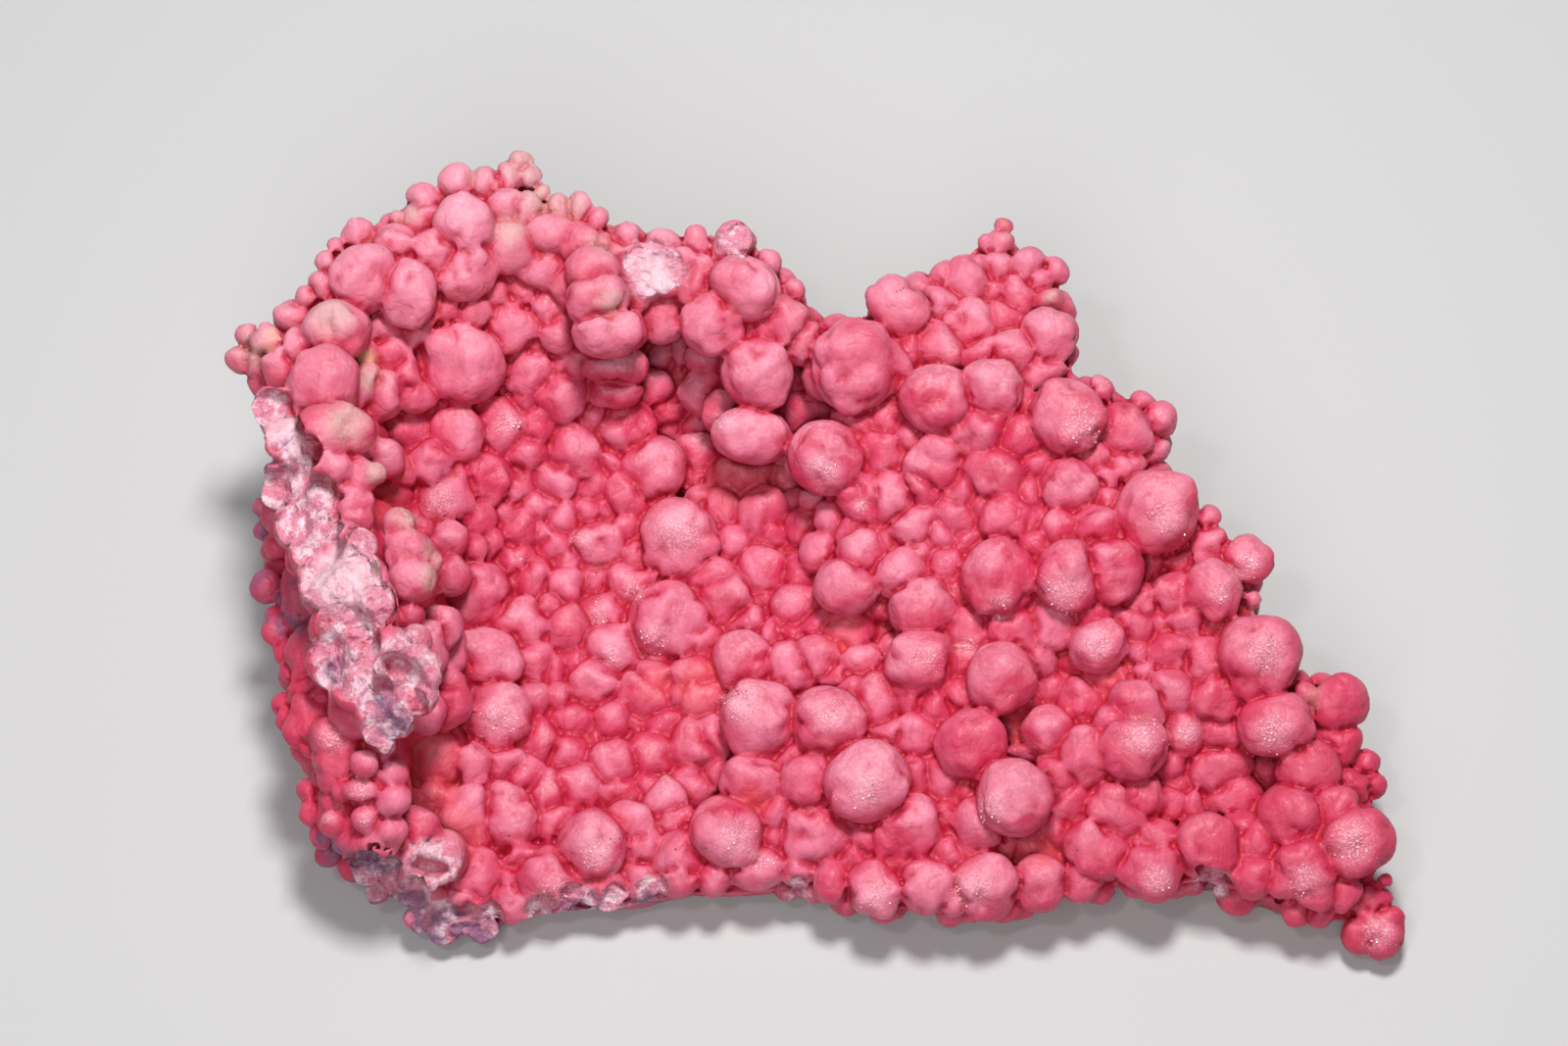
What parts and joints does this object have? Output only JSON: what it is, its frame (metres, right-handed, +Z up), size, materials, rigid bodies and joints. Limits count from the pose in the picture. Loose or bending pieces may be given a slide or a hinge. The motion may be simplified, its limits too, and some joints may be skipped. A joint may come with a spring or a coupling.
{
  "type": "rough mineral specimen",
  "caption": "Knobby pink rhodochrosite crust plate with a hollowed face, a raised left edge and a flat cut back.",
  "frame": {"origin": "on the flat cut back, under the middle of the knobby face, at floor level", "axes": "+Z up out of the knobby face, +X along the long side towards the pointed right corner, +Y towards the two peaks of the upper edge"},
  "size_m": [0.18, 0.1192, 0.0492],
  "materials": {
    "rhodochrosite": "waxy, with a fine crystal frost"
  },
  "bodies": {
    "root": {"rhodochrosite_crust": "rhodochrosite"}
  },
  "joints": []
}
